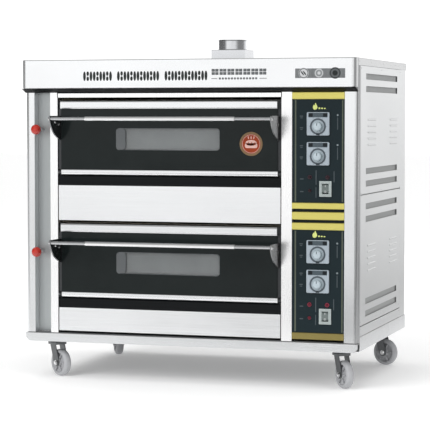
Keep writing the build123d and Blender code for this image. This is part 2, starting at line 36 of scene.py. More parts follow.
MM = 0.001
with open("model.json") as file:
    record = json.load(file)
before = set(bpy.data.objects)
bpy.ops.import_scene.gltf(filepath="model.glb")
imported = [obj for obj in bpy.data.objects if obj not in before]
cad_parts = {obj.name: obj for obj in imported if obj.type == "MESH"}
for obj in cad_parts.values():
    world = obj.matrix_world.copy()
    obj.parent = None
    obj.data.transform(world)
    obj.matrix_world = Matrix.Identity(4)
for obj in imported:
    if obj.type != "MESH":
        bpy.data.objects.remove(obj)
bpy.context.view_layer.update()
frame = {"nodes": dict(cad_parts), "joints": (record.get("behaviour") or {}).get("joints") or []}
nodes = frame["nodes"]

BODY = "oven_body"
DECKS = ("lower", "upper")
CORNERS = ("front_left", "front_right", "rear_left", "rear_right")
SIDES = (("left", -1), ("right", 1))
FRONT_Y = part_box("front_corner_posts")[0].y
RAIL_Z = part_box("base_rail")[0].z


# ---- materials

def node_of(tree, kind, **settings):
    """Add a shader node and set its plain attributes."""
    node = tree.nodes.new(kind)
    for key, value in settings.items():
        setattr(node, key, value)
    return node


def object_noise(tree, scale, stretch, detail, roughness):
    """Noise in object space, stretched along the axes; returns its factor socket."""
    coords = node_of(tree, "ShaderNodeTexCoord")
    mapping = node_of(tree, "ShaderNodeMapping")
    mapping.inputs["Scale"].default_value = stretch
    noise = node_of(tree, "ShaderNodeTexNoise")
    noise.inputs["Scale"].default_value = scale
    noise.inputs["Detail"].default_value = detail
    noise.inputs["Roughness"].default_value = roughness
    tree.links.new(coords.outputs["Object"], mapping.inputs["Vector"])
    tree.links.new(mapping.outputs["Vector"], noise.inputs["Vector"])
    return noise.outputs["Fac"]


def remap(tree, socket, low, high, start=0.3, end=0.7):
    """Map a socket from the range start to end onto low to high."""
    ranged = node_of(tree, "ShaderNodeMapRange")
    tree.links.new(socket, ranged.inputs["Value"])
    ranged.inputs["From Min"].default_value = start
    ranged.inputs["From Max"].default_value = end
    ranged.inputs["To Min"].default_value = low
    ranged.inputs["To Max"].default_value = high
    return ranged.outputs["Result"]


def product(tree, first, second):
    """Multiply two sockets."""
    times = node_of(tree, "ShaderNodeMath", operation="MULTIPLY")
    tree.links.new(first, times.inputs[0])
    tree.links.new(second, times.inputs[1])
    return times.outputs[0]


def blend_values(tree, factor, first, second):
    """Mix two numbers or sockets by a factor socket."""
    mix = node_of(tree, "ShaderNodeMix", data_type="FLOAT")
    tree.links.new(factor, mix.inputs["Factor"])
    for name, value in (("A", first), ("B", second)):
        if isinstance(value, float):
            mix.inputs[name].default_value = value
        else:
            tree.links.new(value, mix.inputs[name])
    return mix.outputs["Result"]


def seen(tree, plain, hidden):
    """Show plain to direct sight, and hidden to reflections and bounced light."""
    path = node_of(tree, "ShaderNodeLightPath")
    return blend_values(tree, path.outputs["Is Camera Ray"], hidden, plain)


def place_sockets(tree, space):
    """The X, Y and Z sockets of a texture space."""
    coords = node_of(tree, "ShaderNodeTexCoord")
    parts = node_of(tree, "ShaderNodeSeparateXYZ")
    tree.links.new(coords.outputs[space], parts.inputs["Vector"])
    return parts.outputs


def blend_colours(tree, socket, first, second):
    """Mix two colours by a factor socket."""
    mix = node_of(tree, "ShaderNodeMix", data_type="RGBA")
    mix.inputs["A"].default_value = (*first, 1)
    mix.inputs["B"].default_value = (*second, 1)
    tree.links.new(socket, mix.inputs["Factor"])
    return mix.outputs["Result"]


def surface(name, colour, metallic, rough, grain, grain_scale=1.0, tone=0.05, rough_spread=0.06,
            bump=0.05, depth=0.0004, patch=2.5, coat=0.0, specular=0.5, second=None):
    """A surface with fine grain in its relief and broad patches in its colour and roughness."""
    material = bpy.data.materials.new(name)
    material.use_nodes = True
    tree = material.node_tree
    shader = tree.nodes["Principled BSDF"]
    shader.inputs["Metallic"].default_value = metallic
    shader.inputs["Coat Weight"].default_value = coat
    shader.inputs["Specular IOR Level"].default_value = specular
    fine = object_noise(tree, grain_scale, grain, 5.0, 0.6)
    broad = object_noise(tree, patch, (1, 1, 1), 3.0, 0.5)
    both = node_of(tree, "ShaderNodeMath", operation="MULTIPLY_ADD")
    tree.links.new(fine, both.inputs[0])
    both.inputs[1].default_value = 0.5
    half = node_of(tree, "ShaderNodeMath", operation="MULTIPLY")
    tree.links.new(broad, half.inputs[0])
    half.inputs[1].default_value = 0.5
    tree.links.new(half.outputs[0], both.inputs[2])
    dark = tuple(c * (1 - tone) for c in colour)
    light = second or tuple(min(1.0, c * (1 + tone)) for c in colour)
    tinted = blend_colours(tree, remap(tree, both.outputs[0], 0, 1), dark, light)
    tree.links.new(tinted, shader.inputs["Base Color"])
    low, high = rough - rough_spread, rough + rough_spread
    tree.links.new(remap(tree, both.outputs[0], low, high), shader.inputs["Roughness"])
    relief = node_of(tree, "ShaderNodeBump")
    relief.inputs["Strength"].default_value = bump
    relief.inputs["Distance"].default_value = depth
    tree.links.new(fine, relief.inputs["Height"])
    tree.links.new(relief.outputs["Normal"], shader.inputs["Normal"])
    return material


def metal(name, colour, rough, grain, **looks):
    """Bare metal."""
    return surface(name, colour, 1.0, rough, grain, **looks)


def ink(name, colour, rough, tone, **looks):
    """A printed or enamelled mark."""
    return surface(name, colour, 0.0, rough, EVEN, tone=tone, bump=0.02, **looks)


# Grain density along each axis, per metre
ALONG_X = (4, 260, 260)
ALONG_Y = (260, 4, 260)
ALONG_Z = (260, 260, 4)
EVEN = (90, 90, 90)
MOULDED = (300, 300, 300)
SATIN = (240, 240, 240)

steel_x = metal("steel_brushed_across", (0.84, 0.85, 0.86), 0.22, ALONG_X, tone=0.03)
steel_rail = metal("steel_rail_nose", (0.7, 0.71, 0.72), 0.24, ALONG_X, tone=0.03)
steel_corner = metal("steel_header_cheek", (0.6, 0.61, 0.615), 0.3, ALONG_Z, tone=0.03)
steel_roof = metal("steel_roof_sheet", (0.57, 0.575, 0.58), 0.3, ALONG_X, tone=0.035)
steel_jamb = metal("steel_jamb_bright", (0.98, 0.982, 0.985), 0.27, ALONG_Z, tone=0.02, bump=0.04)
steel_z = metal("steel_brushed_upright", (0.77, 0.78, 0.79), 0.17, ALONG_Z, tone=0.03)
steel_side = metal("steel_side_sheet", (0.72, 0.73, 0.735), 0.34, ALONG_Y, tone=0.035)
steel_edge = metal("steel_edge_grey", (0.4, 0.405, 0.415), 0.36, ALONG_Z, tone=0.06)
# Darker steel for the channel lining: painted shade of the recessed channel.
steel_shade = surface("steel_channel_painted_shade", (0.45, 0.475, 0.48), 0.9, 0.42, ALONG_Z, tone=0.08)
steel_dull = metal("steel_galvanised", (0.66, 0.67, 0.68), 0.36, EVEN, tone=0.1, patch=14, bump=0.08)
steel_flue = metal("steel_flue_bright", (0.66, 0.67, 0.69), 0.2, ALONG_X, tone=0.04, patch=9, bump=0.04)
steel_heat = metal("steel_heat_tinted", (0.5, 0.48, 0.45), 0.4, ALONG_Y, tone=0.18, patch=6,
                   second=(0.6, 0.52, 0.4))
chrome = metal("chrome_polished", (0.86, 0.865, 0.87), 0.1, EVEN, tone=0.02, rough_spread=0.03,
               bump=0.01)
bar_steel = metal("steel_bar_ends", (0.52, 0.53, 0.54), 0.22, EVEN, bump=0.02)
# Dark steel for the handle brackets: a painted dark reflection of the door on shiny brackets.
bracket_steel = metal("steel_bracket_painted_reflection", (0.26, 0.265, 0.27), 0.3, EVEN, tone=0.08, bump=0.04)
alloy = metal("alloy_satin_trim", (0.8, 0.81, 0.82), 0.2, ALONG_X, tone=0.025, bump=0.04)
gold = surface("alloy_gold_anodised", (0.7, 0.62, 0.155), 0.8, 0.32, ALONG_X, bump=0.02,
               second=(0.75, 0.68, 0.21))
gold_shade = surface("alloy_gold_shaded", (0.27, 0.22, 0.075), 0.8, 0.34, ALONG_X, tone=0.06, bump=0.02)
# Black satin paint for the sill strips and lintel joints; on the header's under trim it is a painted
# shadow under the header's overhang.
black_paint_and_painted_shadow = surface("paint_black_satin_and_painted_shadow", (0.006, 0.0068, 0.0075), 0.0, 0.5, EVEN, tone=0.25, bump=0.1,
                      grain_scale=4, specular=0.1)
panel_paint = surface("paint_control_panel", (0.0062, 0.0145, 0.0182), 0.0, 0.36, EVEN, tone=0.22,
                      bump=0.06, grain_scale=5, specular=0.2)
door_paint = surface("paint_door_pan", (0.045, 0.047, 0.05), 0.5, 0.38, EVEN, tone=0.15)
base_paint = surface("paint_base_grey", (0.16, 0.165, 0.17), 0.2, 0.5, EVEN, tone=0.15, bump=0.12,
                     grain_scale=3)
sole_iron = surface("iron_sole_plate", (0.09, 0.086, 0.082), 0.6, 0.58, EVEN, tone=0.35, patch=9,
                    bump=0.2)
wool = surface("wool_mineral", (0.62, 0.55, 0.4), 0.0, 0.95, (40, 40, 40), tone=0.25, bump=0.8,
               depth=0.004)
gas_yellow = surface("paint_gas_yellow", (0.72, 0.5, 0.03), 0.0, 0.42, EVEN, tone=0.12, bump=0.08)
cast_alloy = metal("alloy_cast", (0.55, 0.56, 0.57), 0.46, (220, 220, 220), tone=0.1, bump=0.2)
case_plastic = surface("plastic_case_grey", (0.33, 0.38, 0.425), 0.0, 0.42, MOULDED)
dark_plastic = surface("plastic_case_dark", (0.004, 0.007, 0.01), 0.0, 0.4, MOULDED, tone=0.15,
                       bump=0.06, specular=0.3)
band_plastic = surface("plastic_display_band", (0.06, 0.08, 0.095), 0.0, 0.3, MOULDED, tone=0.1,
                       bump=0.03, specular=0.3)
dial_plastic = surface("plastic_dial", (0.33, 0.395, 0.43), 0.0, 0.28, SATIN, bump=0.04)
switch_plastic = surface("plastic_switch", (0.35, 0.395, 0.39), 0.0, 0.38, SATIN)
rocker_plastic = surface("plastic_rocker", (0.12, 0.145, 0.14), 0.0, 0.35, SATIN, tone=0.15)
nylon = surface("nylon_wheel", (0.4, 0.405, 0.42), 0.0, 0.34, (120, 120, 120), tone=0.06, patch=22,
                bump=0.07)
zinc = surface("zinc_plate_fork", (0.17, 0.175, 0.18), 0.85, 0.36, (140, 140, 140), tone=0.22, patch=25,
               bump=0.1)
red_ball = surface("phenolic_red", (0.42, 0.024, 0.014), 0.0, 0.2, EVEN, tone=0.08, bump=0.01, coat=0.3)
seal_rope = surface("rope_seal", (0.085, 0.085, 0.08), 0.0, 0.92, (500, 500, 500), tone=0.35, bump=0.7,
                    depth=0.001)
print_black = ink("print_black_ink", (0.014, 0.018, 0.018), 0.42, 0.15, specular=0.3)
print_grey = ink("print_grey_ink", (0.1, 0.107, 0.112), 0.45, 0.12, specular=0.3)
print_ash = ink("print_ash_ink", (0.22, 0.235, 0.24), 0.45, 0.1)
print_slate = ink("print_slate_ink", (0.115, 0.122, 0.126), 0.45, 0.15)
print_silver = ink("print_silver_ink", (0.52, 0.53, 0.54), 0.4, 0.06)
print_pale = ink("print_pale_ink", (0.2, 0.235, 0.25), 0.5, 0.1, specular=0.3)
print_dim = ink("print_dim_ink", (0.055, 0.07, 0.078), 0.5, 0.15, specular=0.3)
print_olive = ink("print_olive_line", (0.085, 0.098, 0.072), 0.42, 0.12, specular=0.3)
print_lime = ink("enamel_lime", (0.6, 0.66, 0.2), 0.28, 0.1)
badge_red = ink("enamel_red_brown", (0.25, 0.036, 0.01), 0.45, 0.14, specular=0.2)
badge_rose = ink("enamel_rose", (0.58, 0.36, 0.32), 0.3, 0.1, coat=0.1)
ring_plastic = surface("plastic_scale_ring", (0.055, 0.072, 0.086), 0.0, 0.38, MOULDED, tone=0.1,
                       bump=0.04)
dial_cap_plastic = surface("plastic_dial_cap", (0.42, 0.49, 0.53), 0.0, 0.32, SATIN, tone=0.06,
                           bump=0.02)
rim_red = surface("plastic_rim_red", (0.2, 0.01, 0.03), 0.0, 0.3, EVEN, tone=0.15, bump=0.03)
rim_dim = surface("plastic_rim_dim", (0.035, 0.014, 0.022), 0.0, 0.34, EVEN, tone=0.15, bump=0.03,
                  specular=0.25)
baffle_grey = surface("steel_baffle_matt", (0.41, 0.42, 0.42), 0.2, 0.55, ALONG_Y, tone=0.08)
window_film = surface("film_window_grey", (0.142, 0.153, 0.16), 0.0, 0.45, EVEN, tone=0.04, bump=0.01)
# Dark sheet on the window's left end: painted shade of the window's reveal.
reveal_painted_shade = surface("painted_reveal_shade", (0.085, 0.092, 0.096), 0.0, 0.45, EVEN, bump=0.01)
brass = metal("brass_turned", (0.62, 0.46, 0.2), 0.3, EVEN, tone=0.08, bump=0.04)
badge_gold = surface("metal_badge_gold", (0.21, 0.135, 0.07), 0.5, 0.45, EVEN, tone=0.1, bump=0.03)


def glassy(name, colour, rough, transmission, specular=0.5):
    """A glossy sheet with faint dust in its roughness."""
    material = bpy.data.materials.new(name)
    material.use_nodes = True
    tree = material.node_tree
    shader = tree.nodes["Principled BSDF"]
    shader.inputs["Transmission Weight"].default_value = transmission
    shader.inputs["Specular IOR Level"].default_value = specular
    shader.inputs["IOR"].default_value = 1.46
    dust = object_noise(tree, 9.0, (1, 1, 1), 6.0, 0.65)
    pale = tuple(min(1.0, c * 1.12 + 0.002) for c in colour)
    tinted = blend_colours(tree, remap(tree, dust, 0, 1), colour, pale)
    tree.links.new(tinted, shader.inputs["Base Color"])
    tree.links.new(remap(tree, dust, rough, rough + 0.05), shader.inputs["Roughness"])
    return material


black_glass = glassy("glass_black_printed", (0.0060, 0.0090, 0.0090), 0.10, 0.0, 0.20)
window_glass = glassy("glass_window", (0.60, 0.63, 0.635), 0.05, 0.85)
lamp_red = glassy("lens_red", (0.11, 0.007, 0.018), 0.18, 0.10)
lamp_off = glassy("lens_red_unlit", (0.020, 0.009, 0.012), 0.20, 0.05, 0.3)
lamp_clear = glassy("lens_clear", (0.90, 0.88, 0.80), 0.12, 0.6)

MATERIALS = {
    "base_frame": base_paint, "base_rail": steel_rail, "front_corner_posts": steel_z,
    "door_surround": steel_jamb, "rear_posts": steel_side, "left_side_panels": steel_side,
    "right_side_panels": steel_side, "roof_panel": steel_roof, "back_panel": steel_dull,
    # The header's under trim is black as a painted shadow under the header's overhang.
    "header_fascia": steel_x, "header_under_trim": black_paint_and_painted_shadow, "access_panels": steel_x,
    "sill_strips": black_paint_and_painted_shadow, "chamber_liners": steel_heat, "sole_plates": sole_iron,
    "insulation_slabs": wool, "tube_burners": steel_heat, "thermocouple_probes": chrome,
    "chamber_lamps": lamp_clear, "gas_manifold": gas_yellow, "gas_control_units": cast_alloy,
    "flue_duct": steel_dull, "flue_box": steel_flue, "flue_pipe": steel_flue,
    "control_panels": panel_paint, "gold_trims": gold, "controller_cases": case_plastic,
    "switch_cases": switch_plastic, "indicator_lamps": lamp_red, "castor_plates": zinc,
}
DECK_MATERIALS = {
    "door_frame": door_paint, "door_glass": black_glass, "window_panes": window_glass,
    "door_trims": alloy, "handle_bar": chrome, "handle_brackets": bracket_steel,
    "damper_knob": red_ball, "damper_rod": chrome, "top_heat_dial": dial_plastic,
    "bottom_heat_dial": dial_plastic, "power_rocker": rocker_plastic,
}
for deck in DECKS:
    MATERIALS.update({deck + "_" + part: material for part, material in DECK_MATERIALS.items()})
for corner in CORNERS:
    MATERIALS["castor_fork_" + corner] = zinc
    MATERIALS["castor_wheel_" + corner] = nylon
for node, material in MATERIALS.items():
    obj = nodes[node]
    obj.data.materials.clear()
    obj.data.materials.append(material)


def second_finish(obj, material, chosen):
    """Give the faces of a node whose centres pass a test a second material."""
    obj.data.materials.append(material)
    for face in obj.data.polygons:
        if chosen(obj.matrix_world @ face.center):
            face.material_index = 1


# Duller bar ends beside the grip, a painted darker floor reflection on the lowest gold trim, unlit
# upper lamps, greyer header cheeks.
# Heights above the floor and distances from the middle, in millimetres.
GRIP_HALF = 300.0
LOWEST_TRIM_TOP = 225.0
DECK_SPLIT = 700.0
CHEEK_START = 673.5
for deck in DECKS:
    bar = deck + "_handle_bar"
    middle = sum(corner.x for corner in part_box(bar)) / 2
    second_finish(nodes[bar], bar_steel, lambda point: abs(point.x - middle) > GRIP_HALF * MM)
second_finish(nodes["gold_trims"], gold_shade, lambda point: point.z < LOWEST_TRIM_TOP * MM)
second_finish(nodes["indicator_lamps"], lamp_off, lambda point: point.z > DECK_SPLIT * MM)
fascia = nodes["header_fascia"]
second_finish(fascia, steel_corner, lambda point: abs(point.x) > CHEEK_START * MM)


# ---- piece helpers

def finish_piece(name, bm, material, body, smooth_angle=40):
    """Turn a bmesh into a piece that rides on a body."""
    mesh = bpy.data.meshes.new(name)
    bmesh.ops.recalc_face_normals(bm, faces=bm.faces)
    bm.to_mesh(mesh)
    bm.free()
    mesh.materials.append(material)
    mesh.shade_smooth()
    mesh.set_sharp_from_angle(angle=math.radians(smooth_angle))
    obj = bpy.data.objects.new(name, mesh)
    bpy.context.scene.collection.objects.link(obj)
    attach(obj, body)
    return obj


def aim(position, direction):
    """A matrix at position whose local +Z points along direction."""
    z_axis = Vector(direction).normalized()
    up = Vector((0, 1, 0)) if abs(z_axis.z) > 0.99 else Vector((0, 0, 1))
    x_axis = up.cross(z_axis).normalized()
    y_axis = z_axis.cross(x_axis)
    turn = Matrix((x_axis, y_axis, z_axis)).transposed().to_4x4()
    return Matrix.Translation(Vector(position)) @ turn


def ring_outline(radius, count, start=0.0):
    """Points of a regular polygon."""
    angles = [start + 2 * math.pi * i / count for i in range(count)]
    return [(radius * math.cos(angle), radius * math.sin(angle)) for angle in angles]


def lathe(bm, outline, matrix, steps=48):
    """Turn an outline of (radius, height) in millimetres about local Z."""
    rings = []
    for radius, height in outline:
        count = steps if radius > 0 else 1
        points = [(x, y, height) for x, y in ring_outline(radius, count)]
        rings.append([bm.verts.new(matrix @ (Vector(point) * MM)) for point in points])
    for first, second in zip(rings, rings[1:]):
        for step in range(steps):
            after = (step + 1) % steps
            corners = [first[step % len(first)], first[after % len(first)],
                       second[after % len(second)], second[step % len(second)]]
            unique = list(dict.fromkeys(corners))
            if len(unique) > 2:
                bm.faces.new(unique)


def closed_lathe(bm, outline, matrix, steps=48):
    """Turn an outline whose last point joins its first."""
    lathe(bm, list(outline) + [outline[0]], matrix, steps)
    bmesh.ops.remove_doubles(bm, verts=bm.verts, dist=1e-7)


def bevelled_box(bm, low, high, bevel):
    """A box by its corner points in metres, with edges rounded by bevel."""
    made = bmesh.ops.create_cube(bm, size=1.0)["verts"]
    for vert in made:
        vert.co = Vector(low[i] + (high[i] - low[i]) * (vert.co[i] + 0.5) for i in range(3))
    if bevel > 0:
        edges = list({edge for vert in made for edge in vert.link_edges})
        bmesh.ops.bevel(bm, geom=edges, offset=bevel, segments=2, profile=0.5, affect="EDGES")


def prism(bm, outline, matrix, thickness):
    """Extrude a closed outline in millimetres by thickness along local Z."""
    lower = [bm.verts.new(matrix @ (Vector((x, y, 0)) * MM)) for x, y in outline]
    upper = [bm.verts.new(matrix @ (Vector((x, y, thickness)) * MM)) for x, y in outline]
    bm.faces.new(lower[::-1])
    bm.faces.new(upper)
    for index in range(len(outline)):
        after = (index + 1) % len(outline)
        bm.faces.new((lower[index], lower[after], upper[after], upper[index]))


# Outlines for a screw of radius 1, and the turn in radians from one screw to the next
PAN_HEAD = [(0.0, 0.62), (0.45, 0.60), (0.75, 0.50), (0.94, 0.30), (1.0, 0.10), (1.0, 0.0), (0.0, 0.0)]
SCREW_QUADRANT = [(0.12, 0.12), (0.55, 0.12), (0.50, 0.34), (0.34, 0.50), (0.12, 0.55)]
SCREW_TURN = 0.7


def pan_screws(name, places, direction, radius, body):
    """Pan-head screws with a cross recess drawn as raised quadrants, joined as one piece."""
    bm = bmesh.new()
    for index, place in enumerate(places):
        matrix = aim(place, direction) @ Matrix.Rotation(SCREW_TURN * index, 4, "Z")
        lathe(bm, [(r * radius, h * radius) for r, h in PAN_HEAD], matrix, 20)
        raised = matrix @ Matrix.Translation((0, 0, 0.5 * radius * MM))
        quadrant = [(x * radius, y * radius) for x, y in SCREW_QUADRANT]
        for quarter in range(4):
            turn = raised @ Matrix.Rotation(math.pi / 2 * quarter, 4, "Z")
            prism(bm, quadrant, turn, 0.14 * radius)
    finish_piece(name, bm, chrome, body)


def turned_piece(name, outline, centre, direction, material, body, steps=48):
    """A piece turned from a closed outline of (radius, height)."""
    bm = bmesh.new()
    closed_lathe(bm, outline, aim(centre, direction), steps)
    finish_piece(name, bm, material, body)


def tube_ring(name, centre, direction, outer, inner, length, material, body, bevel):
    """A short round collar with softened edges."""
    outline = [(inner, 0), (outer - bevel, 0), (outer, bevel), (outer, length - bevel),
               (outer - bevel, length), (inner, length)]
    turned_piece(name, outline, centre, direction, material, body)


FORWARD = (0, -1, 0)


def at(x, depth, z):
    """A point in metres from millimetres across, behind the front plane and above the base rail."""
    return Vector((x * MM, FRONT_Y + depth * MM, RAIL_Z + z * MM))


def plate(name, x, depth, z, material, body, bevel=0.2):
    """A flat rounded-edge piece by its limits in millimetres."""
    bm = bmesh.new()
    bevelled_box(bm, at(x[0], depth[0], z[0]), at(x[1], depth[1], z[1]), bevel * MM)
    finish_piece(name, bm, material, body)


# ---- castors

# Half of the wheel's section as (radius, distance from its middle plane)
WHEEL_HALF = [(6.2, 18), (14, 18), (16, 16.5), (17.5, 9), (22, 7.5), (33, 7.5), (37, 9),
              (39.5, 14.5), (42, 16), (46, 15.6), (50.5, 13.2), (53, 9.2), (54, 4.0), (54, 0)]
# Fork face from the wheel's middle, drops below the base rail, bolts from the swivel pin
FORK_FACE = 27.8
RACE_DROP = 12.2
BOLT_DROP = 4.0
BOLT_OFFSET = 36.0


def wheel(corner, matrix):
    """The moulded wheel with recessed sides and a hub, and the ribs in its recesses."""
    body = "roller_" + corner
    bm = bmesh.new()
    section = WHEEL_HALF + [(radius, -height) for radius, height in reversed(WHEEL_HALF[:-1])]
    closed_lathe(bm, section, matrix, 72)
    tread = finish_piece("wheel_tread_" + corner, bm, nylon, body, 30)
    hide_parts("castor_wheel_" + corner)

    bm = bmesh.new()
    for side in (-1, 1):
        for rib in range(6):
            turn = matrix @ Matrix.Rotation(math.pi / 3 * rib, 4, "Z")
            low = Vector((17.0, -1.6, side * 12.0 - 5.0)) * MM
            high = Vector((39.0, 1.6, side * 12.0 + 2.0)) * MM
            start = len(bm.verts)
            bevelled_box(bm, low, high, 0.8 * MM)
            bm.verts.ensure_lookup_table()
            for vert in bm.verts[start:]:
                vert.co = turn @ vert.co
    finish_piece("wheel_ribs_" + corner, bm, nylon, body)


def castor(corner):
    """The wheel of one castor, and the nuts, race and bolts of its fork."""
    joints = {joint["name"]: joint for joint in frame["joints"]}
    axle = Vector(joints["roll_" + corner]["axis"]).normalized()
    hub = Vector(joints["roll_" + corner]["pos_m"])
    wheel(corner, aim(hub, axle))

    fork_body = "castor_" + corner
    bm = bmesh.new()
    for side in (-1, 1):
        face = aim(hub + axle * side * FORK_FACE * MM, axle * side)
        prism(bm, ring_outline(7.6, 6, 0.3 * side), face, 3.2)
        lathe(bm, [(5.0, 3.2), (4.2, 5.2), (0, 5.4)], face, 24)
        closed_lathe(bm, [(6, -1.2), (10, -1.2), (10, 0), (6, 0)], face, 32)
    finish_piece("axle_nuts_" + corner, bm, chrome, fork_body)

    pin = Vector(joints["swivel_" + corner]["pos_m"])
    race = Vector((pin.x, pin.y, RAIL_Z - RACE_DROP * MM))
    tube_ring("swivel_race_" + corner, race, (0, 0, -1), 30, 12, 5.5, zinc, fork_body, 1.6)
    bm = bmesh.new()
    for across in (-BOLT_OFFSET, BOLT_OFFSET):
        for along in (-BOLT_OFFSET, BOLT_OFFSET):
            place = (pin.x + across * MM, pin.y + along * MM, RAIL_Z - BOLT_DROP * MM)
            face = aim(place, (0, 0, -1))
            prism(bm, ring_outline(6.5, 6), face, 4.5)
            lathe(bm, [(9, 0), (9, 1.2), (0, 1.2)], face, 28)
    finish_piece("plate_bolts_" + corner, bm, chrome, BODY)


for corner in CORNERS:
    castor(corner)


# ---- flat shape helpers

def rounded(x, z, radius, steps=4):
    """Outline of a rounded rectangle by its limits in millimetres."""
    points = []
    corners = [(x[1] - radius, z[1] - radius), (x[0] + radius, z[1] - radius),
               (x[0] + radius, z[0] + radius), (x[1] - radius, z[0] + radius)]
    for quarter, (cx, cz) in enumerate(corners):
        for step in range(steps + 1):
            angle = math.pi / 2 * (quarter + step / steps)
            points.append((cx + radius * math.cos(angle), cz + radius * math.sin(angle)))
    return points


def oval(cx, cz, half_long, half_short, lean, count=20):
    """Outline of an ellipse; lean turns its long axis from upright, in degrees."""
    turn = math.radians(lean)
    points = []
    for step in range(count):
        angle = 2 * math.pi * step / count
        along, across = half_long * math.cos(angle), half_short * math.sin(angle)
        points.append((cx + across * math.cos(turn) + along * math.sin(turn),
                       cz + along * math.cos(turn) - across * math.sin(turn)))
    return points


def front_shapes(name, outlines, depth, thickness, material, body):
    """Flat shapes facing forward: outlines of (x, z), proud of depth by thickness."""
    bm = bmesh.new()
    face = aim(at(0, depth, 0), FORWARD)
    for outline in outlines:
        prism(bm, outline, face, thickness)
    finish_piece(name, bm, material, body)


def front_ring(name, x, depth, z, outer, inner, length, material, body, bevel):
    """A round collar facing forward, in millimetres."""
    tube_ring(name, at(x, depth, z), FORWARD, outer, inner, length, material, body, bevel)


# Places that the CAD sets: deck pitch, door, controllers, switch, and the faces that details sit on
LIFT = {"lower": 0.0, "upper": 485.0}
DOOR_X = (-537.0, 374.5)
DOOR_MID = sum(DOOR_X) / 2
CASE_X = 520.85
CASE_LEVELS = {"top_heat": 381.0, "bottom_heat": 268.0}
SWITCH_X = 549.5
SWITCH_LEVEL = 135.0
CASE_FACE = -5.0
PANEL_FACE = 3.0
HEADER_FACE = -40.0
SIDE_FACE = 675.0
BACK_FACE = 899.6


# ---- header

GRAIN_PITCH = 13.4
GRAIN_RUNS = ((-416.0, -294.0), (-275.0, -100.0), (-80.0, 95.0))
MEDALLION_Z = 1056.5
LINTEL_JOINTS = (("left", -539.5), ("right", 377.0))


def grain_run(start, end):
    """A dense run of tall grains and stacked pairs that fills one stretch of the header border."""
    count = round((end - start) / GRAIN_PITCH)
    step = (end - start) / count
    outlines = []
    for index in range(count):
        centre = start + step * (index + 0.5)
        if index % 3 == 1:
            outlines += [oval(centre, level, 8.8, 5.2, 0) for level in (1060.0, 1040.6)]
        else:
            outlines.append(oval(centre, 1050.2, 18.6, 5.6, 0))
    return outlines


def tile_row(start, end, low, high, pitch, gap):
    """A row of small square tiles, each split in four."""
    outlines = []
    count = round((end - start) / pitch)
    step = (end - start) / count
    for index in range(count):
        left = start + step * index + gap / 2
        right = left + step - gap
        middle, level = (left + right) / 2, (low + high) / 2
        for x in ((left, middle - 0.7), (middle + 0.7, right)):
            for z in ((low, level - 0.7), (level + 0.7, high)):
                outlines.append(rounded(x, z, 1.2, 2))
    return outlines


def header_border():
    """A plain grain border, a tiled row and a rule in place of the printed wording."""
    grains = [outline for start, end in GRAIN_RUNS for outline in grain_run(start, end)]
    rule = [rounded((110, 134), (1037, 1039.5), 1, 2), rounded((301, 330), (1037, 1039.5), 1, 2)]
    rule += [rounded((140 + 12 * i, 148 + 12 * i), (1034.5, 1042), 1.5, 2) for i in range(13)]
    marks = (("header_grain_border", grains, print_black),
             ("header_tile_row", tile_row(109, 330, 1052, 1075, 31.5, 4.0), print_grey),
             ("header_dotted_rule", rule, print_grey))
    for name, outlines, material in marks:
        front_shapes(name, outlines, HEADER_FACE, 0.35, material, BODY)


def header_badges():
    """A grey striped strip with three plain round medallions."""
    strip, disc, mark = HEADER_FACE - 0.6, HEADER_FACE - 1.2, HEADER_FACE - 1.3
    plate("badge_strip", (441, 634), (strip, HEADER_FACE), (1038, 1074), print_slate, BODY,
          0.3)
    stripes = [rounded((x, x + 1.6), (1038.5, 1073.5), 0.4, 1) for x in range(445, 632, 5)]
    front_shapes("badge_strip_lines", stripes, strip, 0.25, print_ash, BODY)
    first, second, third = 474.0, 533.5, 595.5
    discs = ((first, 20.0, print_silver, print_grey), (second, 17.5, print_ash, print_silver),
             (third, 21.5, print_grey, print_black))
    for index, (x, radius, field, edge) in enumerate(discs):
        label = "medallion_" + str(index + 1)
        round_field = [oval(x, MEDALLION_Z, radius, radius, 0, 40)]
        front_shapes(label, round_field, strip, 0.7, field, BODY)
        front_ring(label + "_ring", x, disc, MEDALLION_Z, radius - 1.5, radius - 4.5, 0.5, edge,
                   BODY, 0.1)
    bars = [oval(first + offset, MEDALLION_Z, 10, 2.4, -38, 16) for offset in (-5, 4)]
    small, large = oval(second, MEDALLION_Z, 6, 6, 0, 24), oval(third, MEDALLION_Z, 10, 10, 0, 28)
    front_shapes("medallion_1_grains", bars, mark, 0.35, print_black, BODY)
    front_shapes("medallion_2_dot", [small], mark, 0.35, print_silver, BODY)
    front_shapes("medallion_3_dot", [large], mark, 0.35, print_black, BODY)


def header_edges():
    """Folded seams and screws of the header box and roof."""
    for side_name, side in SIDES:
        x = sorted((side * (SIDE_FACE - 0.4), side * (SIDE_FACE + 0.6)))
        plate("header_seam_" + side_name, x, (-1.4, 0.6), (1004, 1114), steel_edge, BODY,
              0.3)
        places = [at(side * SIDE_FACE, depth, 1101) for depth in (20, 230, 450, 670, 880)]
        pan_screws("roof_screws_" + side_name, places, (side, 0, 0), 1.6, BODY)


def lintel_details():
    """Dark joints where the lintel meets the jambs, and a joint along its top."""
    depth = (-0.5, 0.3)
    for side_name, x in LINTEL_JOINTS:
        plate("lintel_joint_" + side_name, (x - 1.6, x + 1.6), depth, (968, 1001), black_paint_and_painted_shadow, BODY,
              0.1)
    plate("lintel_groove", (-538, 375.5), depth, (984, 987), black_paint_and_painted_shadow, BODY, 0.1)


header_border()
header_badges()
header_edges()
lintel_details()


# ---- control column

SCALE_RADIUS = 31.8
DIAL_RIBS = 30
DIAL_RIB = [(16.4, -0.8), (17.7, -0.45), (17.7, 0.45), (16.4, 0.8)]
DIAL_CAP = [(0, 0.5), (11.0, 0.5), (12.4, 0.2), (12.6, -0.2), (0, -0.2)]
# x, level and rim radius of each lamp
LAMP_PLACES = ((488.0, 179.0, 8.2), (557.0, 179.0, 8.2), (488.0, 128.0, 6.4))


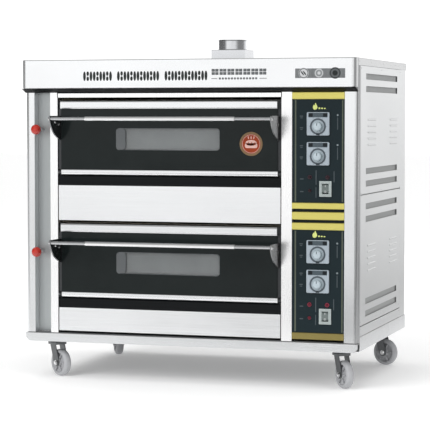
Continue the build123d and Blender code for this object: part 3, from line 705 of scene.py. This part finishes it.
def dial_scale(bm, centre):
    """Graduations around a dial: eleven ticks over 300 degrees."""
    for tick in range(11):
        turn = aim(centre, FORWARD) @ Matrix.Rotation(math.radians(240 - 30 * tick), 4, "Z")
        end = SCALE_RADIUS + (3.4 if tick % 5 == 0 else 2.2)
        prism(bm, [(SCALE_RADIUS, -0.45), (end, -0.45), (end, 0.45), (SCALE_RADIUS, 0.45)], turn, 0.3)


def controller(deck, name):
    """Display band, scale ring and ticks on the case; fluting, cap and pointer on the dial."""
    z = CASE_LEVELS[name] + LIFT[deck]
    label = deck + "_" + name
    dial_z = z - 10.0
    body = label + "_control"
    band = [rounded((CASE_X - 37.5, CASE_X + 37.5), (z + 24.5, z + 41.5), 2)]
    front_shapes(label + "_display_band", band, CASE_FACE, 0.5, band_plastic, BODY)
    window_spans = ((CASE_X - 36, CASE_X - 20), (CASE_X + 20, CASE_X + 36))
    squares = [rounded(span, (z + 26.5, z + 40), 1.5) for span in window_spans]
    front_shapes(label + "_display_windows", squares, CASE_FACE - 0.5, 0.4, dark_plastic, BODY)
    front_ring(label + "_scale_ring", CASE_X, CASE_FACE, dial_z, 31.0, 24.6, 0.5, ring_plastic, BODY,
               0.1)
    foot = [rounded((CASE_X - 7, CASE_X + 7), (z - 43, z - 37.5), 1.5)]
    front_shapes(label + "_scale_foot", foot, CASE_FACE, 0.5, ring_plastic, BODY)
    bm = bmesh.new()
    dial_scale(bm, at(CASE_X, CASE_FACE, dial_z))
    finish_piece(label + "_scale_ticks", bm, print_grey, BODY)
    bm = bmesh.new()
    for rib in range(DIAL_RIBS):
        spin = Matrix.Rotation(2 * math.pi * rib / DIAL_RIBS, 4, "Z")
        prism(bm, DIAL_RIB, aim(at(CASE_X, -8.4, dial_z), FORWARD) @ spin, 11.2)
    finish_piece(label + "_dial_fluting", bm, dial_plastic, body)
    turned_piece(label + "_dial_cap", DIAL_CAP, at(CASE_X, -22.5, dial_z), FORWARD, dial_cap_plastic,
                 body)
    plate(label + "_dial_pointer", (CASE_X - 0.9, CASE_X + 0.9), (-23.85, -23.4),
          (dial_z + 3, dial_z + 12.6), print_black, body, 0.1)


def switch_marks(deck):
    """The on bar and off ring moulded on the rocker, and a raised rim round it."""
    x, z = SWITCH_X, SWITCH_LEVEL + LIFT[deck]
    body = deck + "_power_switch"
    bar = [rounded((x - 1.1, x + 1.1), (z + 7, z + 14), 0.8, 3)]
    front_shapes(deck + "_rocker_on_mark", bar, -1.6, 1.2, print_silver, body)
    front_ring(deck + "_rocker_off_mark", x, -1.4, z - 10.5, 4.0, 2.7, 1.4, print_silver, body,
               0.2)
    bm = bmesh.new()
    for left, right, low, high in ((-18, 18, 22, 25), (-18, 18, -25, -22), (-18, -15, -22, 22),
                                   (15, 18, -22, 22)):
        bevelled_box(bm, at(x + left, -3.2, z + low), at(x + right, -1.6, z + high), 0.5 * MM)
    finish_piece(deck + "_switch_rim", bm, switch_plastic, BODY)


def panel_prints(deck):
    """Plain label bars, border lines and a small flame mark in place of the printed wording."""
    lift = LIFT[deck]
    low, high = (75.5, 460.5) if deck == "lower" else (571.0, 956.0)
    border = [rounded(span, (low, high), 1, 1) for span in ((428.8, 434.4), (612.5, 617.0))]
    spans = []
    for level in (410, 366, 298, 255):
        spans.append((448, 461, level - 2, level + 2))
        spans.append((450, 459, level - 8, level - 5))
    spans += [(449, 463, level - 2, level + 2) for level in (172, 124)]
    spans += [(510.5, 514, 150, 206), (510.5, 513.5, 101, 141), (580.5, 584, 160, 202)]
    bars = [rounded((left, right), (foot + lift, top + lift), 1, 2) for left, right, foot, top in spans]
    levels = [level + lift for level in CASE_LEVELS.values()]
    dots = [oval(595.5, level + 33, 3.6, 3.6, 0, 20) for level in levels]
    rules = [rounded((593.6, 597.0), (level - 22, level + 24), 1, 2) for level in levels]
    prints = (("border", border, 0.3, print_olive), ("labels", bars, 0.25, print_dim),
              ("side_labels", dots, 0.25, print_pale), ("side_rules", rules, 0.25, print_dim))
    for name, shapes, thickness, material in prints:
        front_shapes(deck + "_panel_" + name, shapes, PANEL_FACE, thickness, material, BODY)
    base = 434.0 + lift
    flame = [(504, 0), (512, 1), (517, 7), (516, 15), (512, 21), (510.5, 27), (506.5, 22), (507, 17),
             (502.5, 19), (499, 12), (499.5, 5)]
    marks = [[(x, base + rise) for x, rise in flame]]
    for index in range(3):
        span = (521 + 10.5 * index, 528 + 10.5 * index)
        marks.append(rounded(span, (base + 3, base + 9 - index), 1.5, 2))
    front_shapes(deck + "_panel_flame_mark", marks, PANEL_FACE, 0.4, print_lime, BODY)


def lamp_bezels(deck, ring_material):
    """A rim round each indicator lens."""
    for index, (x, level, outer) in enumerate(LAMP_PLACES):
        front_ring(deck + "_lamp_rim_" + str(index + 1), x, PANEL_FACE, level + LIFT[deck], outer,
                   5.2, 3.0, ring_material, BODY, 0.8)


for deck in DECKS:
    for heat in CASE_LEVELS:
        controller(deck, heat)
    switch_marks(deck)
    panel_prints(deck)
lamp_bezels("upper", rim_dim)
lamp_bezels("lower", rim_red)


# ---- damper channel and outer sheets

CHANNEL_X = (-636.8, -571.8)
CHANNEL_Z = (38.0, 1001.0)
LINING_DEPTH = (39.0, 39.9)
DAMPER_X = -621.0
DAMPER_Z = 357.0
HOLE_HALF = 40.0
HOLE_RADIUS = 9.0
HOLE_STEPS = 8


def holed_sheet(bm, x, z, depth, thickness):
    """A rectangular sheet with a round hole in its middle, facing forward."""
    mid_x, mid_z = (x[0] + x[1]) / 2, (z[0] + z[1]) / 2
    corners = [(x[1], z[1]), (x[0], z[1]), (x[0], z[0]), (x[1], z[0])]
    start = math.atan2(z[1] - mid_z, x[1] - mid_x)
    bounds = [start, math.pi - start, math.pi + start, 2 * math.pi - start, 2 * math.pi + start]
    for quarter in range(4):
        arc = []
        for step in range(HOLE_STEPS + 1):
            part = (bounds[quarter + 1] - bounds[quarter]) * step / HOLE_STEPS
            angle = bounds[quarter] + part
            arc.append((mid_x + HOLE_RADIUS * math.cos(angle), mid_z + HOLE_RADIUS * math.sin(angle)))
        outline = [corners[quarter], corners[(quarter + 1) % 4], *arc[::-1]]
        prism(bm, outline, aim(at(0, depth, 0), FORWARD), thickness)


def damper_channel():
    """The recessed channel's lining, darkened as painted shade of the recess, and a grommet where each
    damper rod comes out.
    """
    bm = bmesh.new()
    left, right = CHANNEL_X
    mirror = 2 * DAMPER_X - left
    front, back = LINING_DEPTH
    floor = CHANNEL_Z[0]
    for deck in DECKS:
        low, high = (DAMPER_Z + LIFT[deck] + offset for offset in (-HOLE_HALF, HOLE_HALF))
        bevelled_box(bm, at(left, front, floor), at(right, back, low), 0)
        holed_sheet(bm, (left, mirror), (low, high), back, back - front)
        bevelled_box(bm, at(mirror, front, low), at(right, back, high), 0)
        floor = high
    bevelled_box(bm, at(left, front, floor), at(right, back, CHANNEL_Z[1]), 0)
    finish_piece("channel_lining", bm, steel_shade, BODY)
    for deck in DECKS:
        level = DAMPER_Z + LIFT[deck]
        front_ring(deck + "_damper_grommet", DAMPER_X, 39.2, level, 9.5, 5.8, 2.0, steel_edge, BODY,
                   0.6)
        front_ring(deck + "_damper_ferrule", DAMPER_X, -4.6, level, 7.6, 4.6, 7.0, chrome,
                   deck + "_damper", 0.8)


def side_details(side_name, side):
    """Grey baffles behind the slots, the folded edge of the front post and the panel screws."""
    baffle = sorted((side * 669.0, side * 669.8))
    plate("slot_baffle_" + side_name, baffle, (60, 780), (98, 1085), baffle_grey, BODY, 0)
    edge = sorted((side * (SIDE_FACE - 0.6), side * (SIDE_FACE + 1.0)))
    plate("post_edge_" + side_name, edge, (13.5, 40.4), (38, 1086), steel_edge, BODY, 0.6)
    levels = (110, 590, 602, 1076, 66, 84)
    places = [at(side * SIDE_FACE, depth, z) for z in levels for depth in (52, 410, 772)]
    pan_screws("side_screws_" + side_name, places, (side, 0, 0), 1.9, BODY)


INLET_X = 540.0
INLET_Z = 120.0
THREAD_PITCH = 2.1
THREAD_TURNS = 16


def back_details():
    """Caps over the rear posts and frame ends, back sheet screws, inlet thread and nut."""
    for side_name, side in SIDES:
        x = sorted((side * 634.4, side * 673.3))
        for end_name, z in (("foot", (36.5, 55.6)), ("head", (1087.2, 1113.3))):
            plate("rear_cap_" + end_name + "_" + side_name, x, (884, 899.4), z, steel_side, BODY,
                  1.5)
        x = sorted((side * 632.3, side * 667.7))
        plate("frame_end_cap_" + side_name, x, (895, 897.6), (2.3, 31.7), base_paint, BODY,
              0.3)
    places = [at(x, BACK_FACE, z) for x in (-622, -311, 0, 311, 622) for z in (60, 575, 1095)]
    places += [at(x, BACK_FACE, z) for x in (-622, 622) for z in (230, 400, 745, 920)]
    pan_screws("back_screws", places, (0, 1, 0), 4.2, BODY)
    outline = [(9.2, 0.0)]
    for index in range(THREAD_TURNS):
        foot = THREAD_PITCH * index
        outline += [(9.9, foot + 0.4), (10.45, foot + 1.2), (9.9, foot + 2.0)]
    outline += [(9.2, 34.6)]
    turned_piece("gas_inlet_thread", outline, at(INLET_X, 905, INLET_Z), (0, 1, 0), brass, BODY,
                 40)
    bm = bmesh.new()
    prism(bm, ring_outline(17.0, 6), aim(at(INLET_X, BACK_FACE, INLET_Z), (0, 1, 0)), 4.5)
    finish_piece("gas_inlet_nut", bm, brass, BODY)


damper_channel()
for side_name, side in SIDES:
    side_details(side_name, side)
back_details()


# ---- flue

FLUE_CENTRE = at(0, 605, 1169)
BEAD = [(58.2, 36.5), (59.4, 37.6), (59.8, 39.2), (59.2, 40.8), (57.9, 41.6), (56.4, 41.6),
        (56.4, 40.6), (57.4, 40.2), (58.0, 39.0), (57.6, 37.2)]
WELD = [(57.8, 0.2), (60.4, 0.2), (60.0, 1.4), (58.4, 2.6), (57.8, 2.6)]


def flue_details():
    """A rolled bead at the mouth, a weld line at the foot, and a flange with screws on the box."""
    for name, outline, material in (("flue_mouth_bead", BEAD, steel_flue),
                                    ("flue_weld_line", WELD, steel_dull)):
        turned_piece(name, outline, FLUE_CENTRE, (0, 0, 1), material, BODY, 72)
    plate("flue_box_flange", (-82, 82), (531, 679), (1115.1, 1116.3), steel_flue, BODY,
          0.4)
    places = [at(x, depth, 1116.2) for x in (-77, 77) for depth in (545, 605, 665)]
    pan_screws("flue_box_screws", places, (0, 0, 1), 2.8, BODY)


flue_details()


# ---- doors

WINDOW_X = (DOOR_MID - 210, DOOR_MID + 210)
WINDOW_Z = (279.5, 360.5)
REVEAL_SHADE_WIDTH = 37.0
EDGING = 2.2
GASKET_X = (DOOR_X[0] + 26, DOOR_X[1] - 26)
GASKET_Z = (210.0, 453.0)
HANDLE_DEPTH = -103.5
HANDLE_Z = 400.0
HANDLE_ENDS = (("left", -531.2, -1), ("right", 368.7, 1))
GRIP_COLLAR = [(6.2, 0), (8.4, 0), (8.4, 2.2), (7.6, 3.4), (6.2, 3.8)]
BAR_DOME = [(0, 5.4), (3.2, 5.0), (6.4, 3.6), (8.3, 1.6), (8.5, 0), (0, 0)]
BADGE_X = 257.0
BADGE_Z = 789.0


def door_window(deck):
    """The window's grey coating, a painted shade band at its left end for the shaded reveal behind it,
    and its printed edging.
    """
    body = deck + "_door"
    z = [level + LIFT[deck] for level in WINDOW_Z]
    plate(deck + "_window_coating", (WINDOW_X[0] - 8, WINDOW_X[1] + 8), (55.2, 55.9),
          (z[0] - 8, z[1] + 8), window_film, body, 0)
    band = [rounded((WINDOW_X[0], WINDOW_X[0] + REVEAL_SHADE_WIDTH), z, 11.5)]
    front_shapes(deck + "_window_painted_reveal_shade", band, 0.0, 0.25, reveal_painted_shade, body)
    outer = rounded((WINDOW_X[0] - EDGING, WINDOW_X[1] + EDGING), (z[0] - EDGING, z[1] + EDGING), 13, 6)
    inner = rounded(WINDOW_X, z, 11.8, 6)
    bm = bmesh.new()
    for index in range(len(outer)):
        after = (index + 1) % len(outer)
        quad = [outer[index], outer[after], inner[after], inner[index]]
        prism(bm, quad, aim(at(0, 0.1, 0), FORWARD), 0.35)
    bmesh.ops.remove_doubles(bm, verts=bm.verts, dist=1e-7)
    finish_piece(deck + "_window_edging", bm, print_grey, body)


def door_gasket(deck):
    """A rope gasket on the back of the door, a rounded rectangular loop."""
    loop = rounded(GASKET_X, [level + LIFT[deck] for level in GASKET_Z], 20, 6)
    section = ring_outline(3.4, 10)
    bm = bmesh.new()
    rings = []
    for index, (x, z) in enumerate(loop):
        before, after = loop[index - 1], loop[(index + 1) % len(loop)]
        along = Vector((after[0] - before[0], after[1] - before[1])).normalized()
        ring = [bm.verts.new(at(x + along.y * a, 66.0 + b * 0.7, z - along.x * a)) for a, b in section]
        rings.append(ring)
    for index, ring in enumerate(rings):
        following = rings[(index + 1) % len(rings)]
        for step in range(len(section)):
            beside = (step + 1) % len(section)
            bm.faces.new((ring[step], ring[beside], following[beside], following[step]))
    finish_piece(deck + "_door_gasket", bm, seal_rope, deck + "_door")


def handle_details(deck):
    """Grip collars, domes on the bar's ends and bracket screws."""
    body = deck + "_door"
    z = HANDLE_Z + LIFT[deck]
    for side_name, side in SIDES:
        place = at(DOOR_MID + side * GRIP_HALF, HANDLE_DEPTH, z)
        turned_piece(deck + "_grip_collar_" + side_name, GRIP_COLLAR, place, (side, 0, 0), chrome, body,
                     32)
    for side_name, x, side in HANDLE_ENDS:
        turned_piece(deck + "_handle_end_" + side_name, BAR_DOME, at(x, HANDLE_DEPTH, z), (side, 0, 0),
                     chrome, body, 32)
        places = [at(x - side * 5.3, -22, z - 22), at(x - side * 5.3, -60, z - 14)]
        pan_screws(deck + "_bracket_screws_" + side_name, places, (-side, 0, 0), 5.0, body)


def hinge_bushes(deck):
    """Bushes round the hinge pins at the door's lower corners."""
    for side_name, x, direction in (("left", DOOR_X[0] - 2.2, 1), ("right", DOOR_X[1] + 2.2, -1)):
        tube_ring(deck + "_hinge_bush_" + side_name, at(x, 14, 189 + LIFT[deck]), (direction, 0, 0),
                  8.0, 5.3, 1.9, steel_edge, BODY, 0.3)


def door_badge():
    """A plain enamel roundel with a loaf on the upper door."""
    x, z, body = BADGE_X, BADGE_Z, "upper_door"
    front_ring("door_badge_rim", x, -0.1, z, 46, 37.5, 1.6, badge_gold, body, 0.6)
    field = [oval(x, z, 38.5, 38.5, 0, 56)]
    front_shapes("door_badge_field", field, -0.1, 0.9, badge_red, body)
    front_ring("door_badge_line", x, -0.9, z, 35.5, 34.0, 0.5, badge_rose, body, 0.1)
    loaf = [rounded((x - 25, x + 25), (z - 16, z + 3), 8), oval(x, z + 4, 11, 22, 0, 28)]
    loaf += [oval(x + 11 * i, z + 24, 6.0, 2.1, 12 * i, 14) for i in (-1, 0, 1)]
    front_shapes("door_badge_loaf", loaf, -0.9, 0.6, badge_rose, body)
    cuts = [oval(x + 13 * i, z + 1, 8.5, 1.5, 28, 14) for i in (-1, 0, 1)]
    front_shapes("door_badge_loaf_cuts", cuts, -1.5, 0.3, badge_red, body)


for deck in DECKS:
    door_window(deck)
    door_gasket(deck)
    handle_details(deck)
    hinge_bushes(deck)
door_badge()


# ---- camera, light, floor

CAMERA_PLACE = (2.2262, -7.1722, 1.046)
CAMERA_DIP = 3.101
CAMERA_TURN = 17.371
LENS = 154.0

# Strengths of the room: in front, behind, above, and the screens at each side
FRONT_LEVEL = 1.23
BACK_LEVEL = 1.16
WALL_LEVEL = 0.36
LEFT_SCREEN = 0.14
RIGHT_SCREEN = 0.28
LEAN_LEVEL = 1.08

# The floor's tones and glows: plain, in front, beside, near, far
FLOOR_TONE = 0.90
FRONT_FLOOR = 0.44
FRONT_FLOOR_RIGHT = 0.154
SIDE_FLOOR = 0.40
SIDE_FLOOR_FAR = 0.85
FLOOR_GLOW = 0.22
FAR_GLOW = 0.62
FRONT_GLOW = 2.5


def camera():
    """The view from the front right, level with the upper door and looking slightly down."""
    data = bpy.data.cameras.new("camera")
    data.sensor_width = 36
    data.lens = LENS
    data.clip_end = 60
    obj = bpy.data.objects.new("camera", data)
    obj.location = CAMERA_PLACE
    obj.rotation_euler = (math.radians(90 - CAMERA_DIP), 0, math.radians(CAMERA_TURN))
    bpy.context.scene.collection.objects.link(obj)
    bpy.context.scene.camera = obj


def soft_light(name, place, target, size, power):
    """An area light aimed at a point, unseen in reflections."""
    data = bpy.data.lights.new(name, "AREA")
    data.shape = "RECTANGLE"
    data.size, data.size_y = size
    data.energy = power
    obj = bpy.data.objects.new(name, data)
    obj.location = place
    direction = Vector(target) - Vector(place)
    obj.rotation_euler = direction.to_track_quat("-Z", "Y").to_euler()
    obj.visible_glossy = False
    bpy.context.scene.collection.objects.link(obj)


def sky():
    """A soft room, plain to direct sight; reflections meet grey screens and a grey ceiling."""
    world = bpy.data.worlds.new("studio")
    world.use_nodes = True
    tree = world.node_tree
    place = place_sockets(tree, "Generated")
    level = remap(tree, place["Y"], FRONT_LEVEL, BACK_LEVEL, -1.0, 0.2)
    walls = remap(tree, place["Z"], 1.0, WALL_LEVEL, 0.14, 0.34)
    left = remap(tree, place["X"], LEFT_SCREEN, 1.0, -0.76, -0.50)
    right = remap(tree, place["X"], 1.0, RIGHT_SCREEN, 0.62, 0.90)
    lean = remap(tree, place["X"], LEAN_LEVEL, 1.0, -0.42, -0.24)
    for factor in (walls, left, right, lean):
        level = product(tree, level, factor)
    background = tree.nodes["Background"]
    tree.links.new(seen(tree, BACK_LEVEL, level), background.inputs["Strength"])
    background.inputs["Color"].default_value = (1, 1, 1, 1)
    bpy.context.scene.world = world


def floor_material():
    """A plain pale floor with a faint glow; reflections meet grey zones in front and beside."""
    colour = (FLOOR_TONE, FLOOR_TONE, FLOOR_TONE)
    material = surface("floor_pale", colour, 0.0, 0.8, EVEN, tone=0.01, bump=0.0)
    tree = material.node_tree
    shader = tree.nodes["Principled BSDF"]
    place = place_sockets(tree, "Object")
    near = remap(tree, place["Y"], 1.0, 0.0, -1.75, -1.42)
    far = remap(tree, place["Y"], 0.0, 1.0, -6.5, -3.2)
    front = remap(tree, place["X"], FRONT_FLOOR, FRONT_FLOOR_RIGHT, -0.75, -0.25)
    level = blend_values(tree, product(tree, near, far), FLOOR_TONE, front)
    beside = remap(tree, place["X"], 1.0, 0.0, 0.95, 1.35)
    beyond = remap(tree, place["Y"], 0.0, SIDE_FLOOR_FAR, 2.5, 9.0)
    lit = node_of(tree, "ShaderNodeMath", operation="MAXIMUM")
    tree.links.new(beside, lit.inputs[0])
    tree.links.new(beyond, lit.inputs[1])
    shade = remap(tree, lit.outputs[0], SIDE_FLOOR, 1.0, 0.0, 1.0)
    toned = seen(tree, FLOOR_TONE, product(tree, level, shade))
    tree.links.new(toned, shader.inputs["Base Color"])
    glow = remap(tree, place["Y"], FLOOR_GLOW, FAR_GLOW, 1.2, 6.0)
    front_glow = remap(tree, place["Y"], FRONT_GLOW, 1.0, -12.0, -5.0)
    hidden_glow = product(tree, product(tree, front_glow, shade), glow)
    tree.links.new(seen(tree, glow, hidden_glow), shader.inputs["Emission Strength"])
    shader.inputs["Emission Color"].default_value = (1, 1, 1, 1)
    return material


def studio():
    """Pale floor, soft room and three soft lights, shown with plain contrast."""
    bm = bmesh.new()
    bmesh.ops.create_grid(bm, x_segments=1, y_segments=1, size=40)
    mesh = bpy.data.meshes.new("floor")
    bm.to_mesh(mesh)
    bm.free()
    mesh.materials.append(floor_material())
    floor = bpy.data.objects.new("floor", mesh)
    bpy.context.scene.collection.objects.link(floor)
    sky()
    soft_light("key", (-2.0, -5.0, 3.2), (0, 0, 0.6), (4, 3), 190)
    soft_light("fill", (4.5, -3.0, 2.2), (0, 0, 0.7), (3, 2.5), 60)
    soft_light("top", (0, 0.5, 5.0), (0, 0, 1.0), (8, 7), 200)
    bpy.context.scene.view_settings.view_transform = "Standard"


camera()
studio()
